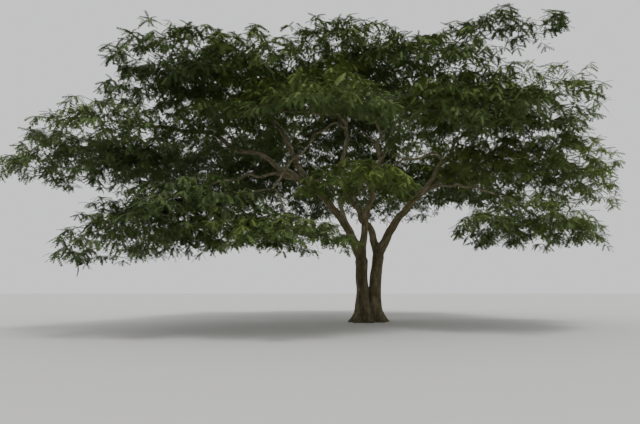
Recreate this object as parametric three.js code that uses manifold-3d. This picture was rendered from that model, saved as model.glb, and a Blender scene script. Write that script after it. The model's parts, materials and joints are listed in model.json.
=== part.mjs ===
// Flame tree with an umbrella crown: two stems on one foot, arching boughs and flat pads of feathery leaves.
// Millimetres, +Z up. +Y points away from the side that the tree is seen from, and +X to the right of it.
// The origin is the middle of the trunk's flat cut at ground level.

import * as THREE from "three";
import { mergeVertices } from "three/addons/utils/BufferGeometryUtils.js";
import Module from "manifold-3d";

const wasm = await Module();
wasm.setup();

// Gap between pieces that touch, and the room that a leaf keeps from what it passes
const SEAM = 0.3;
const LEAF_CLEARANCE = 2;

// Trunk: a round stem that swells into the fork, on a foot with root ridges
const TRUNK = { sides: 15, steps: 8, ridges: 5, ridgeDepth: 0.3, flare: 330, flareHeight: 420 };
const STEM = { sides: 8, stepLength: 850, fewest: 4, from: 180 };
const BOUGH = { sides: 6, stepLength: 1300, fewest: 4 };
const LIMB = { collar: 0.45, collarReach: 1.6, leaveHandle: 0.33, arriveHandle: 0.38 };
const SWAY = { share: 0.022, acrossWaves: 5, upWaves: 7, upShare: 0.7, phaseStep: 1.7 };

// Limbs. Each leaves its parent at a share of the parent's length, or stands on its own foot. Its end is
// given from the middle of the trunk's foot: heading in degrees (0 is +X, 90 is +Y), reach along the ground
// and height. arrive is its slope there in degrees, butt and tip its radii at both ends.
const LIMBS = {
  trunk: { end: [160, 60, 3250], arrive: 88, butt: 290, tip: 300 },
  second_stem: { foot: [620, 470], end: [26, 1000, 3500], arrive: 80, butt: 330, tip: 270 },
  left_stem: { from: "trunk", at: 0.95, end: [204, 2420, 6300], arrive: 38, butt: 235, tip: 165 },
  middle_stem: { from: "trunk", at: 0.94, end: [24, 1350, 8700], arrive: 70, butt: 190, tip: 105 },
  right_stem: { from: "second_stem", at: 0.95, end: [346, 2980, 6300], arrive: 40, butt: 225, tip: 150 },
  rear_stem: { from: "second_stem", at: 0.92, end: [99, 3000, 6900], arrive: 50, butt: 200, tip: 140 },

  upper_left: { from: "left_stem", at: 0.96, end: [222, 7900, 10700], arrive: 18, butt: 140, tip: 70 },
  far_left: { from: "left_stem", at: 0.97, end: [213, 10700, 8000], arrive: -10, butt: 145, tip: 62 },
  low_left: { from: "far_left", at: 0.15, end: [221, 9000, 5500], arrive: -22, butt: 80, tip: 46 },
  west: { from: "left_stem", at: 0.86, end: [178, 6600, 8900], arrive: 18, butt: 105, tip: 60 },
  front_leader: { from: "left_stem", at: 0.5, end: [254, 3200, 9400], arrive: 62, butt: 120, tip: 75 },
  front: { from: "front_leader", at: 0.93, end: [247, 6700, 8500], arrive: -8, butt: 62, tip: 45 },
  front_low: { from: "front_leader", at: 0.9, end: [239, 7600, 5300], arrive: -48, butt: 55, tip: 38 },
  front_high: { from: "middle_stem", at: 0.8, end: [271, 5000, 10300], arrive: 40, butt: 90, tip: 55 },
  high_right: { from: "middle_stem", at: 0.92, end: [296, 5600, 10400], arrive: 22, butt: 76, tip: 48 },
  top: { from: "middle_stem", at: 0.97, end: [122, 900, 10900], arrive: 72, butt: 90, tip: 60 },
  right_high: { from: "right_stem", at: 0.95, end: [316, 6300, 8600], arrive: 18, butt: 105, tip: 55 },
  right: { from: "right_stem", at: 0.97, end: [342, 7100, 7800], arrive: 6, butt: 115, tip: 58 },
  right_low: { from: "right", at: 0.14, end: [319, 6900, 5500], arrive: -24, butt: 72, tip: 42 },
  front_middle: { from: "right_high", at: 0.45, end: [262, 6200, 5000], arrive: -48, butt: 56, tip: 36 },
  rear_right: { from: "rear_stem", at: 0.9, end: [46, 6500, 8900], arrive: 16, butt: 105, tip: 58 },
  rear: { from: "rear_stem", at: 0.97, end: [88, 6500, 9100], arrive: 14, butt: 105, tip: 58 },
  rear_left: { from: "rear_stem", at: 0.94, end: [138, 6900, 8900], arrive: 14, butt: 105, tip: 58 },
};

// Pads of foliage, as a fan of masses beyond a bough's tip: count, the fan's middle heading and its angle,
// how far out their middles lie beyond the tip, their lift above it, the arch of the fan's middle above its
// ends, the radius of each along its own heading, and how slim it is across.
const PADS = {
  upper_left: { count: 3, heading: 237, fan: 110, out: 2600, lift: 750, arch: 700, radius: 2250, slim: 1 },
  far_left: { count: 3, heading: 205, fan: 120, out: 2500, lift: -300, arch: -200, radius: 2150, slim: 0.85 },
  low_left: { count: 3, heading: 222, fan: 130, out: 2400, lift: -1500, arch: -900, radius: 2000, slim: 1 },
  west: { count: 2, heading: 170, fan: 76, out: 2800, lift: 100, arch: 0, radius: 2350, slim: 1 },
  front: { count: 2, heading: 235, fan: 84, out: 2900, lift: 0, arch: 0, radius: 2300, slim: 1 },
  front_low: { count: 2, heading: 250, fan: 90, out: 2000, lift: -1000, arch: 0, radius: 1750, slim: 1 },
  front_high: { count: 2, heading: 275, fan: 84, out: 2400, lift: 1350, arch: 0, radius: 2250, slim: 1 },
  high_right: { count: 1, heading: 326, fan: 0, out: 2500, lift: 2000, arch: 0, radius: 2400, slim: 0.5 },
  top: { count: 3, heading: 90, fan: 240, out: 2400, lift: 1300, arch: 0, radius: 2450, slim: 1 },
  right_high: { count: 3, heading: 300, fan: 140, out: 2700, lift: 900, arch: 700, radius: 2200, slim: 1 },
  right: { count: 2, heading: 332, fan: 76, out: 2250, lift: -200, arch: 0, radius: 2200, slim: 1 },
  right_low: { count: 2, heading: 318, fan: 90, out: 1900, lift: -700, arch: 0, radius: 1850, slim: 1 },
  front_middle: { count: 1, heading: 285, fan: 0, out: 1300, lift: 1000, arch: 0, radius: 1600, slim: 1 },
  rear_right: { count: 3, heading: 46, fan: 150, out: 2700, lift: 300, arch: 1400, radius: 2350, slim: 1 },
  rear: { count: 2, heading: 88, fan: 84, out: 3000, lift: -200, arch: 0, radius: 2450, slim: 1 },
  rear_left: { count: 3, heading: 138, fan: 150, out: 2700, lift: 300, arch: 1400, radius: 2350, slim: 1 },
};
const PAD = { turnSpread: 14, liftSpread: 700, depth: 0.36, droop: 0.22, innerRing: 0.6, ringTurn: 0.7 };
const STALK = { steps: 3, sides: 4, bareShare: 0.4, tipShare: 0.85 };
const TWIGS = { perPad: 6, shortcut: 0.15, tip: 20, sides: 3, power: 2.4 };

// Sprays of leaves: each leaf stands for one, on a few places of every twig, and so does a seed pod.
const LEAF = { length: 1600, width: 1000, thickness: 60 };
const SPRAY = {
  places: [{ share: 0.97, turn: 15 }, { share: 0.72, turn: -65 }, { share: 0.45, turn: 70 }],
  rise: 0.3, turnSpread: 40, droop: 4, droopSpread: 40, roll: 100, tries: 8, spacing: 235,
};
const POD = { length: 620, width: 62, thickness: 20, share: 0.4 };
const TOLERANCE = 0.3;

const DEGREE = Math.PI / 180;
const UP = new THREE.Vector3(0, 0, 1);
const GOLDEN_ANGLE = Math.PI * (3 - Math.sqrt(5));
const RING_SIDE = new THREE.Vector3(0.36, 0.93, 0.05);
const SEEDS = { modulus: 2147483647, multiplier: 16807, spread: 48271, start: 11 };

// The same seed always gives the same run of numbers between 0 and 1.
function seededNumbers(seed) {
  let state = seed * SEEDS.spread + SEEDS.start;
  const next = () => {
    state = (state * SEEDS.multiplier) % SEEDS.modulus;
    return state / SEEDS.modulus;
  };
  next();
  next();
  return next;
}

const towards = (degrees) => new THREE.Vector3(Math.cos(degrees * DEGREE), Math.sin(degrees * DEGREE), 0);
const placeAt = (heading, reach, height) => towards(heading).multiplyScalar(reach).setZ(height);

// Centre line of a limb: a cubic arc with a slight sway to both sides.
class LimbCurve extends THREE.CubicBezierCurve3 {
  constructor(start, leaving, end, arriving, number) {
    const span = start.distanceTo(end);
    super(
      start,
      start.clone().addScaledVector(leaving, span * LIMB.leaveHandle),
      end.clone().addScaledVector(arriving, -span * LIMB.arriveHandle),
      end,
    );
    this.side = new THREE.Vector3().subVectors(end, start).cross(UP).normalize();
    this.swing = span * SWAY.share;
    this.phase = number * SWAY.phaseStep;
  }

  getPoint(t, target = new THREE.Vector3()) {
    super.getPoint(t, target);
    const held = Math.sin(Math.PI * t) * this.swing;
    target.addScaledVector(this.side, held * Math.sin(SWAY.acrossWaves * Math.PI * t + this.phase));
    target.z += held * SWAY.upShare * Math.sin(SWAY.upWaves * Math.PI * t + 2 * this.phase);
    return target;
  }
}

// Solids

// A unit shape with its doubled corners merged, so that moving its corners keeps it closed.
function closedShape(geometry) {
  geometry.deleteAttribute("normal");
  geometry.deleteAttribute("uv");
  return mergeVertices(geometry);
}

function solidFrom(geometry) {
  return new wasm.Manifold(
    new wasm.Mesh({
      numProp: 3,
      vertProperties: new Float32Array(geometry.attributes.position.array),
      triVerts: new Uint32Array(geometry.index.array),
    }),
  );
}

// A closed tube through stations, each with a point, the direction there and a radius or radius by angle. The
// side that a ring is turned to is carried on from ring to ring, so the tube doesn't twist.
function tube(stations, sides) {
  const steps = stations.length - 1;
  const geometry = closedShape(new THREE.CylinderGeometry(1, 1, 1, sides, steps));
  const side = RING_SIDE.clone();
  const frames = stations.map(({ direction }) => {
    side.addScaledVector(direction, -side.dot(direction)).normalize();
    return { side: side.clone(), across: new THREE.Vector3().crossVectors(direction, side) };
  });
  const position = geometry.attributes.position;
  for (let i = 0; i < position.count; i++) {
    const step = Math.round((position.getY(i) + 0.5) * steps);
    const { point, radius } = stations[step];
    const [x, z] = [position.getX(i), position.getZ(i)];
    const size = typeof radius === "function" ? radius(Math.atan2(z, x)) : radius;
    const corner = point.clone().addScaledVector(frames[step].across, x * size);
    corner.addScaledVector(frames[step].side, z * size);
    position.setXYZ(i, corner.x, corner.y, corner.z);
  }
  return solidFrom(geometry);
}

// Stations along a curve, evenly spaced. radiusAt gives the radius at a share of the length.
const stationsOf = (curve, steps, radiusAt) =>
  Array.from({ length: steps + 1 }, (_, i) => ({
    point: curve.getPointAt(i / steps),
    direction: curve.getTangentAt(i / steps),
    radius: radiusAt(i / steps),
  }));

// The same stations for a tube that is larger all round, ends included, to cut what it passes through.
const swollen = (stations, by) =>
  stations.map(({ point, direction, radius }, i) => {
    const beyond = i === 0 ? -by : i === stations.length - 1 ? by : 0;
    const wider = typeof radius === "function" ? (angle) => radius(angle) + by : radius + by;
    return { point: point.clone().addScaledVector(direction, beyond), direction, radius: wider };
  });

// A flat four-faced blade that points along a direction from its root, with its ridge on top.
function blade(root, direction, flatNormal, { length, width, thickness }) {
  const geometry = closedShape(new THREE.TetrahedronGeometry(Math.sqrt(3)).rotateZ(-Math.PI / 4));
  geometry.scale(Math.SQRT1_2, Math.SQRT1_2, 1);
  const across = new THREE.Vector3().crossVectors(flatNormal, direction).normalize();
  const normal = new THREE.Vector3().crossVectors(direction, across).normalize();
  geometry.scale(length / 2, width / 2, thickness / 2);
  geometry.translate(length / 2, 0, -thickness / 2);
  geometry.applyMatrix4(new THREE.Matrix4().makeBasis(direction, across, normal).setPosition(root));
  return solidFrom(geometry);
}

const boxesTouch = (a, b, room) =>
  [0, 1, 2].every((axis) => a.min[axis] < b.max[axis] + room && b.min[axis] < a.max[axis] + room);

const isClearOf = (solid, others, room) => {
  const box = solid.boundingBox();
  const beside = others.filter((other) => boxesTouch(box, other.boundingBox(), room));
  return beside.every((other) => solid.minGap(other, room) >= room);
};

function largestPiece(solid) {
  const pieces = solid.decompose();
  return pieces.reduce((best, piece) => (piece.volume() > best.volume() ? piece : best));
}

// Limbs

const limbCurves = {};
const limbSolids = {};
const grownLimbs = [];

function limbCurve(spec, number) {
  const end = placeAt(...spec.end);
  const parent = limbCurves[spec.from];
  const start = parent ? parent.getPoint(spec.at) : new THREE.Vector3(...(spec.foot ?? [0, 0]), 0);
  const out = new THREE.Vector3().subVectors(end, start).setZ(0).normalize();
  const slope = spec.arrive * DEGREE;
  const arriving = out.multiplyScalar(Math.cos(slope)).addScaledVector(UP, Math.sin(slope));
  const straight = new THREE.Vector3().subVectors(end, start).normalize();
  const leaving = parent ? parent.getTangent(spec.at).add(straight).normalize() : UP.clone();
  return new LimbCurve(start, leaving, end, arriving, parent ? number : 0);
}

// Radius of a limb: an even taper, with a collar where it leaves its parent or root ridges on the ground.
function limbRadius(spec, length) {
  return (share) => {
    const taper = THREE.MathUtils.lerp(spec.butt, spec.tip, share);
    const height = share * length;
    const collar = spec.butt * LIMB.collar * Math.exp(-height / (spec.butt * LIMB.collarReach));
    if (spec.from) return taper + collar;
    const flare = TRUNK.flare * Math.exp(-height / TRUNK.flareHeight);
    return (angle) => taper + flare * (1 + TRUNK.ridgeDepth * Math.cos(TRUNK.ridges * angle));
  };
}

function buildLimb(name, spec, number) {
  const curve = limbCurve(spec, number);
  const length = curve.getLength();
  const make = spec.butt > STEM.from ? STEM : BOUGH;
  const sides = spec.from ? make.sides : TRUNK.sides;
  const steps = spec.from ? Math.max(make.fewest, Math.round(length / make.stepLength)) : TRUNK.steps;
  const stations = stationsOf(curve, steps, limbRadius(spec, length));
  if (!spec.from) stations[0].direction = UP;
  let solid = tube(stations, sides);
  for (const grown of grownLimbs) {
    if (boxesTouch(solid.boundingBox(), grown.boundingBox(), 0)) solid = solid.subtract(grown);
  }
  limbCurves[name] = curve;
  limbSolids[name] = largestPiece(solid);
  grownLimbs.push(tube(swollen(stations, SEAM), sides));
}

Object.entries(LIMBS).forEach(([name, spec], number) => buildLimb(name, spec, number));

// Masses

// The pads of one bough: each has a middle, an outward direction and a root at the bough's tip.
function padsOf(bough, { count, heading, fan, out, lift, arch, radius, slim }, firstSeed) {
  const root = limbCurves[bough].getPoint(1);
  return Array.from({ length: count }, (_, i) => {
    const random = seededNumbers(firstSeed + i);
    const share = count > 1 ? (2 * i) / (count - 1) - 1 : 0;
    const outward = towards(heading + (share * fan) / 2 + PAD.turnSpread * (random() - 0.5));
    const middle = root.clone().addScaledVector(outward, out);
    middle.z += lift - arch * share * share + PAD.liftSpread * (random() - 0.5);
    return { name: `${bough}_foliage_${i + 1}`, bough, root, middle, outward, radius, slim, random };
  });
}

// Points spread evenly over a pad, by the golden angle, on a shallow dome whose edge droops.
function padPoints({ middle, outward, radius, slim, random }, count) {
  const across = new THREE.Vector3().crossVectors(UP, outward);
  return Array.from({ length: count }, (_, i) => {
    const ring = Math.sqrt((i + PAD.innerRing) / count);
    const angle = i * GOLDEN_ANGLE + PAD.ringTurn * random();
    const point = middle.clone();
    point.addScaledVector(outward, radius * ring * Math.cos(angle));
    point.addScaledVector(across, radius * slim * ring * Math.sin(angle));
    point.z += radius * (PAD.depth * (random() - 0.5) - PAD.droop * ring * ring);
    return point;
  });
}

// The twigs of a pad. Each point joins the node that keeps its own twig and the way back to the root short.
function branchOut(pad, count) {
  const flat = pad.middle.clone().lerp(pad.root, 0.5).setZ(Math.max(pad.middle.z, pad.root.z));
  const stem = new THREE.QuadraticBezierCurve3(pad.root, flat, pad.middle);
  const steps = stem.getPoints(STALK.steps);
  const nodes = steps.map((point, i) => ({ point, parent: i - 1, stem: true, way: 0 }));
  nodes.forEach((node, i) => {
    if (i) node.way = nodes[i - 1].way + node.point.distanceTo(nodes[i - 1].point);
  });
  const joinable = nodes.map((_, i) => i > STALK.bareShare * STALK.steps);
  const points = padPoints(pad, count).sort((a, b) => a.distanceTo(pad.root) - b.distanceTo(pad.root));
  for (const point of points) {
    const costs = nodes.map((node, i) =>
      joinable[i] ? node.point.distanceTo(point) + TWIGS.shortcut * node.way : Infinity,
    );
    const parent = costs.indexOf(Math.min(...costs));
    nodes.push({ point, parent, way: nodes[parent].way + nodes[parent].point.distanceTo(point) });
    joinable.push(true);
  }
  return thicken(nodes, LIMBS[pad.bough].tip * STALK.tipShare);
}

// Radii from the tips inwards, so that a twig is as thick as all that it carries. A node's heir is what
// carries on from it: the rest of the stem, or the twig with the most load.
function thicken(nodes, most) {
  nodes.forEach((node) => Object.assign(node, { load: 0, heir: null }));
  for (let i = nodes.length - 1; i > 0; i--) {
    const node = nodes[i];
    const parent = nodes[node.parent];
    if (!node.load) node.load = TWIGS.tip ** TWIGS.power;
    node.radius = Math.min(node.load ** (1 / TWIGS.power), most);
    node.along = new THREE.Vector3().subVectors(node.point, parent.point).normalize();
    parent.load += node.load;
    if (!parent.heir || node.stem || parent.heir.load <= node.load) parent.heir = node;
  }
  return nodes;
}

// The stem and twigs as runs of nodes. The first run is the stem with the twig at its end, and each of the
// others starts on the node that bears it. All follow the heirs to a tip.
function runsOf(nodes) {
  const starts = nodes.slice(1).filter((node) => node === nodes[1] || nodes[node.parent].heir !== node);
  return starts.map((start) => {
    const run = [nodes[start.parent], start];
    while (run.at(-1).heir) run.push(run.at(-1).heir);
    return run;
  });
}

// A run's stations are its nodes, turned half way between the twigs on both sides of it.
const runStations = (run) =>
  run.map((node, i) => {
    const behind = run[Math.max(i, 1)];
    const ahead = run[Math.min(i + 1, run.length - 1)];
    const direction = behind.along.clone().add(ahead.along).normalize();
    return { point: node.point, direction, radius: behind.radius };
  });

const pads = Object.entries(PADS).flatMap(([bough, spec], i) => padsOf(bough, spec, 10 * i + 1));

// Stems first, then all twigs, then leaves, so that nothing that carries is left out for a leaf.
const limbsPlaced = Object.values(limbSolids);
const grownStems = [];
for (const pad of pads) {
  pad.nodes = branchOut(pad, TWIGS.perPad);
  const [stemRun, ...twigRuns] = runsOf(pad.nodes);
  const stations = runStations(stemRun);
  let stem = tube(stations, STALK.sides);
  for (const grown of [...grownLimbs, ...grownStems]) {
    if (boxesTouch(stem.boundingBox(), grown.boundingBox(), 0)) stem = stem.subtract(grown);
  }
  grownStems.push(tube(swollen(stations, SEAM), STALK.sides));
  stemRun.forEach((node) => (node.grown = true));
  pad.pieces = [largestPiece(stem)];
  pad.twigRuns = twigRuns;
}

const piecesBeside = (pad) => pads.filter((other) => other !== pad).flatMap((other) => other.pieces);

// A run that touches a neighbour ends one twig sooner, until it is clear or nothing is left of it.
for (const pad of pads) {
  const others = [...limbsPlaced, ...piecesBeside(pad)];
  for (const run of pad.twigRuns.filter(([start]) => start.grown)) {
    let twig = tube(runStations(run), TWIGS.sides);
    while (run.length > 2 && !isClearOf(twig, others, LEAF_CLEARANCE)) {
      run.pop();
      twig = tube(runStations(run), TWIGS.sides);
    }
    if (!isClearOf(twig, others, LEAF_CLEARANCE)) continue;
    run.forEach((node) => (node.grown = true));
    pad.pieces.push(twig);
  }
}

// Leaves stand out on alternate sides of each twig, and nearly ahead at its end, their points drooping. Each
// takes the first of a few seeded directions in which it touches nothing but the twig that it grows on.
function seededLeaf(pad, node, place, side) {
  const turn = side * (place.turn + SPRAY.turnSpread * (pad.random() - 0.5));
  const droop = SPRAY.droop + SPRAY.droopSpread * pad.random();
  const direction = node.along.clone().setZ(node.along.z * SPRAY.rise).normalize();
  direction.applyAxisAngle(UP, turn * DEGREE).addScaledVector(UP, -Math.tan(droop * DEGREE)).normalize();
  const normal = UP.clone().applyAxisAngle(direction, SPRAY.roll * (pad.random() - 0.5) * DEGREE);
  const root = new THREE.Vector3().lerpVectors(pad.nodes[node.parent].point, node.point, place.share);
  return blade(root, direction, normal, LEAF);
}

for (const pad of pads) {
  const others = [...limbsPlaced, ...piecesBeside(pad)];
  const leaves = [];
  const most = Math.round(pad.radius / SPRAY.spacing);
  const twigs = pad.nodes.filter((node) => node.grown && !node.stem);
  for (const place of SPRAY.places)
    twigs.forEach((node, number) => {
      const side = number % 2 ? 1 : -1;
      for (let i = 0; i < SPRAY.tries && leaves.length < most; i++) {
        const leaf = seededLeaf(pad, node, place, side);
        if (!isClearOf(leaf, [...others, ...leaves], LEAF_CLEARANCE)) continue;
        leaves.push(leaf);
        break;
      }
    });
  pad.pieces.push(...leaves);
  const pod = blade(twigs.at(-1).point, UP.clone().negate(), pad.outward, POD);
  const bears = pad.random() < POD.share;
  if (bears && isClearOf(pod, [...others, ...leaves], LEAF_CLEARANCE)) pad.pieces.push(pod);
}

// Meshes

function bark(color) {
  return new THREE.MeshStandardMaterial({ color, roughness: 0.9, metalness: 0 });
}

function mesh(name, solid, material) {
  const { vertProperties, triVerts } = solid.getMesh();
  const geometry = new THREE.BufferGeometry();
  geometry.setAttribute("position", new THREE.BufferAttribute(vertProperties, 3));
  geometry.setIndex(new THREE.BufferAttribute(triVerts, 1));
  const made = new THREE.Mesh(geometry, material);
  made.name = name;
  return made;
}

const trunkBark = bark(0x6b5a48);
const boughBark = bark(0x857866);
const foliage = new THREE.MeshStandardMaterial({ color: 0x3f5c22, roughness: 0.6, metalness: 0 });

const tree = new THREE.Group();
for (const [name, solid] of Object.entries(limbSolids)) {
  tree.add(mesh(name, solid, LIMBS[name].butt > STEM.from ? trunkBark : boughBark));
}
for (const pad of pads) {
  const joined = largestPiece(wasm.Manifold.union(pad.pieces)).simplify(TOLERANCE);
  tree.add(mesh(pad.name, joined, foliage));
}

export default tree;
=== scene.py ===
import json
import math

import bpy
import numpy as np
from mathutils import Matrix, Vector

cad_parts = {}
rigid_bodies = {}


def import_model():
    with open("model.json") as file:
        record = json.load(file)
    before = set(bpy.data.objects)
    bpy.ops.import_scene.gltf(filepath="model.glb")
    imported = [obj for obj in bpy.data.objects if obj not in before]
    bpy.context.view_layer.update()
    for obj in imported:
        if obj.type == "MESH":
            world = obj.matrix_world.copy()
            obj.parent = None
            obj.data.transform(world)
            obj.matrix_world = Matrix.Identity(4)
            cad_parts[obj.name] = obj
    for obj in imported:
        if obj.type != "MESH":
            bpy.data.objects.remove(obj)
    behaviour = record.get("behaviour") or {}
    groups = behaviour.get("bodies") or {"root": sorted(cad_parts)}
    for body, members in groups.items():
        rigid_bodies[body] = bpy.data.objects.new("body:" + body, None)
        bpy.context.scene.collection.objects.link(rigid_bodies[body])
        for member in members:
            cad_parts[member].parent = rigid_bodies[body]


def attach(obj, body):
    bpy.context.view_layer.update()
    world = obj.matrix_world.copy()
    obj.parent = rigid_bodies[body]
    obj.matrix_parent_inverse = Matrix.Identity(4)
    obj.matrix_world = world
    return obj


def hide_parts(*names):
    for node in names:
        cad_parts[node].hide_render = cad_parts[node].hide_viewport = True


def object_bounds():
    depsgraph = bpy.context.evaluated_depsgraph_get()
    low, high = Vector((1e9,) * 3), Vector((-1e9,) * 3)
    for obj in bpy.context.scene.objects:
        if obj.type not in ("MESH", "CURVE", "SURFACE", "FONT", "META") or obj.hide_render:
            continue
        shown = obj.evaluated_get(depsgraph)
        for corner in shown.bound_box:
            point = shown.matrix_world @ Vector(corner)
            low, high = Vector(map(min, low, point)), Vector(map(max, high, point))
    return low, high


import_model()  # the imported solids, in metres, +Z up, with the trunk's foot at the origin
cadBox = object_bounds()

up = np.array([0.0, 0.0, 1.0])
goldenAngle = math.pi * (3 - math.sqrt(5))
randomRule = {"seedFactor": 48271, "seedShift": 11, "factor": 16807, "size": 2147483647}
hashRule = {"corner": (73856093, 19349663, 83492791), "seed": 9781, "factor": 1274126177,
            "bits": 0x7FFFFFFF, "lowBits": 0xFFFF, "firstShift": 13, "lastShift": 15}


def named(parts, plan):  # the rows of a plan as dictionaries, with a name for each value
    return {name: dict(zip(parts, row)) for name, row in plan.items()}


def unit(vectors):
    return vectors / np.linalg.norm(vectors, axis=-1, keepdims=True)


def towards(degrees):  # the level direction of this heading
    return np.array([math.cos(math.radians(degrees)), math.sin(math.radians(degrees)), 0.0])


def seededNumbers(seed):  # the same seed always gives the same run of numbers between 0 and 1
    state = seed * randomRule["seedFactor"] + randomRule["seedShift"]

    def following():
        nonlocal state
        state = state * randomRule["factor"] % randomRule["size"]
        return state / randomRule["size"]

    following()
    following()
    return following


# Smooth noise from -1 to 1: a hashed value at each whole-number corner of space, blended by 3t^2 - 2t^3
def smoothNoise(places, seed):
    cell = np.floor(places).astype(np.int64)
    part = places - cell
    ease = part * part * (3 - 2 * part)
    total = np.zeros(places.shape[:-1])
    for corner in np.ndindex(2, 2, 2):
        key = ((cell + corner) @ np.array(hashRule["corner"]) + seed * hashRule["seed"]) & hashRule["bits"]
        key = ((key ^ (key >> hashRule["firstShift"])) * hashRule["factor"]) & hashRule["bits"]
        value = ((key ^ (key >> hashRule["lastShift"])) & hashRule["lowBits"]) / (hashRule["lowBits"] / 2) - 1
        total += value * np.prod(np.where(corner, ease, 1 - ease), axis=-1)
    return total


def noiseVectors(places, shifts, seed):  # a band of smooth noise for each shift, as one vector for each place
    return np.stack([smoothNoise(places + shift, seed) for shift in shifts], -1)


# Limbs

# What each limb leaves, a limb or the ground, and where: the share of that limb's length or its foot's place.
# Then its end, as heading in degrees, reach along the ground and height, its slope there and its radii.
limbParts = ("parent", "where", "end", "slope", "butt", "tip")
limbPlan = named(limbParts, {
    "trunk": ("ground", (0, 0), (160, 0.06, 3.25), 88, 0.29, 0.3),
    "second_stem": ("ground", (0.62, 0.47), (26, 1.0, 3.5), 80, 0.33, 0.27),
    "left_stem": ("trunk", 0.95, (204, 2.42, 6.3), 38, 0.235, 0.165),
    "middle_stem": ("trunk", 0.94, (24, 1.35, 8.7), 70, 0.19, 0.105),
    "right_stem": ("second_stem", 0.95, (346, 2.98, 6.3), 40, 0.225, 0.15),
    "rear_stem": ("second_stem", 0.92, (99, 3.0, 6.9), 50, 0.2, 0.14),
    "upper_left": ("left_stem", 0.96, (222, 7.9, 10.7), 18, 0.14, 0.07),
    "far_left": ("left_stem", 0.97, (213, 10.7, 8.0), -10, 0.145, 0.062),
    "low_left": ("far_left", 0.15, (221, 9.0, 5.5), -22, 0.08, 0.046),
    "west": ("left_stem", 0.86, (178, 6.6, 8.9), 18, 0.105, 0.06),
    "front_leader": ("left_stem", 0.5, (254, 3.2, 9.4), 62, 0.12, 0.075),
    "front": ("front_leader", 0.93, (247, 6.7, 8.5), -8, 0.062, 0.045),
    "front_low": ("front_leader", 0.9, (239, 7.6, 5.3), -48, 0.055, 0.038),
    "front_high": ("middle_stem", 0.8, (271, 5.0, 10.3), 40, 0.09, 0.055),
    "high_right": ("middle_stem", 0.92, (296, 5.6, 10.4), 22, 0.076, 0.048),
    "top": ("middle_stem", 0.97, (122, 0.9, 10.9), 72, 0.09, 0.06),
    "right_high": ("right_stem", 0.95, (316, 6.3, 8.6), 18, 0.105, 0.055),
    "right": ("right_stem", 0.97, (342, 7.1, 7.8), 6, 0.115, 0.058),
    "right_low": ("right", 0.14, (319, 6.9, 5.5), -24, 0.072, 0.042),
    "front_middle": ("right_high", 0.45, (262, 6.2, 5.0), -48, 0.056, 0.036),
    "rear_right": ("rear_stem", 0.9, (46, 6.5, 8.9), 16, 0.105, 0.058),
    "rear": ("rear_stem", 0.97, (88, 6.5, 9.1), 14, 0.105, 0.058),
    "rear_left": ("rear_stem", 0.94, (138, 6.9, 8.9), 14, 0.105, 0.058),
})
limbRule = {"leaveHandle": 0.33, "arriveHandle": 0.38, "samples": 401, "step": 0.05, "fewestSteps": 8,
            "nudge": 1e-4, "collar": 0.45, "collarReach": 1.6, "startTaper": 0.5, "startReach": 0.9,
            "firstSide": (0.36, 0.93, 0.05), "firstSeed": 10}
rootRule = {"flare": 0.33, "flareHeight": 0.42, "ridges": 5, "ridgeDepth": 0.3, "topTaper": 0.3,
            "flute": 0.085, "fluteHeight": 1.6, "fluteTwist": 0.5, "fluteTurn": 1.3, "straightHeight": 0.15}
swayRule = {"share": 0.022, "acrossWaves": 5, "upWaves": 7, "upShare": 0.7, "phaseStep": 1.7}


# Centre line of a limb: a cubic arc (1-t)^3 A + 3(1-t)^2 t B + 3(1-t) t^2 C + t^3 D, which sways to both
# sides by sin(pi t) times a sine, most in its middle
def limbPoint(limb, t):
    t = np.atleast_1d(t)[:, None]
    a, b, c, d = limb["controls"]
    held = np.sin(np.pi * t) * limb["swing"]
    across = held * np.sin(swayRule["acrossWaves"] * np.pi * t + limb["phase"])
    rise = held * swayRule["upShare"] * np.sin(swayRule["upWaves"] * np.pi * t + 2 * limb["phase"])
    arc = (1 - t) ** 3 * a + 3 * (1 - t) ** 2 * t * b + 3 * (1 - t) * t * t * c + t ** 3 * d
    return arc + across * limb["side"] + rise * up


def limbTangent(limb, t):
    ahead, behind = np.minimum(t + limbRule["nudge"], 1), np.maximum(t - limbRule["nudge"], 0)
    return unit(limbPoint(limb, ahead) - limbPoint(limb, behind))


# Radius of a limb at a height along it: an even taper plus an exponential collar, or root ridges in five
# waves that fade into shallow flutes. A limb starts narrow inside its parent, by 1 - s exp(-(height/r)^2).
def limbRadius(limb, height, angle):
    spec = limb["spec"]
    taper = spec["butt"] + (spec["tip"] - spec["butt"]) * height / limb["length"]
    if limb["parent"] is None:
        twist = rootRule["fluteTwist"] * np.sin(rootRule["fluteTurn"] * height)
        waves = np.cos(rootRule["ridges"] * angle + twist)
        flare = rootRule["flare"] * np.exp(-height / rootRule["flareHeight"])
        flare = flare * (1 + rootRule["ridgeDepth"] * waves)
        closing = np.clip((height - limb["length"]) / spec["tip"] + 1, 0, 1)
        flutes = 1 + rootRule["flute"] * waves * np.exp(-height / rootRule["fluteHeight"])
        return (taper + flare) * flutes * (1 - rootRule["topTaper"] * closing)
    collar = limbRule["collar"] * np.exp(-height / (spec["butt"] * limbRule["collarReach"]))
    within = limbRule["startTaper"] * np.exp(-(height / (limbRule["startReach"] * limb["parentRadius"])) ** 2)
    return (taper + spec["butt"] * collar) * (1 - within)


# The side vector of each ring along a path: the one before it, made square to the path again
def carriedSides(directions):
    side = np.array(limbRule["firstSide"])
    sides = np.empty_like(directions)
    for i, direction in enumerate(directions):
        side = unit(side - direction * (side @ direction))
        sides[i] = side
    return sides


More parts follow.
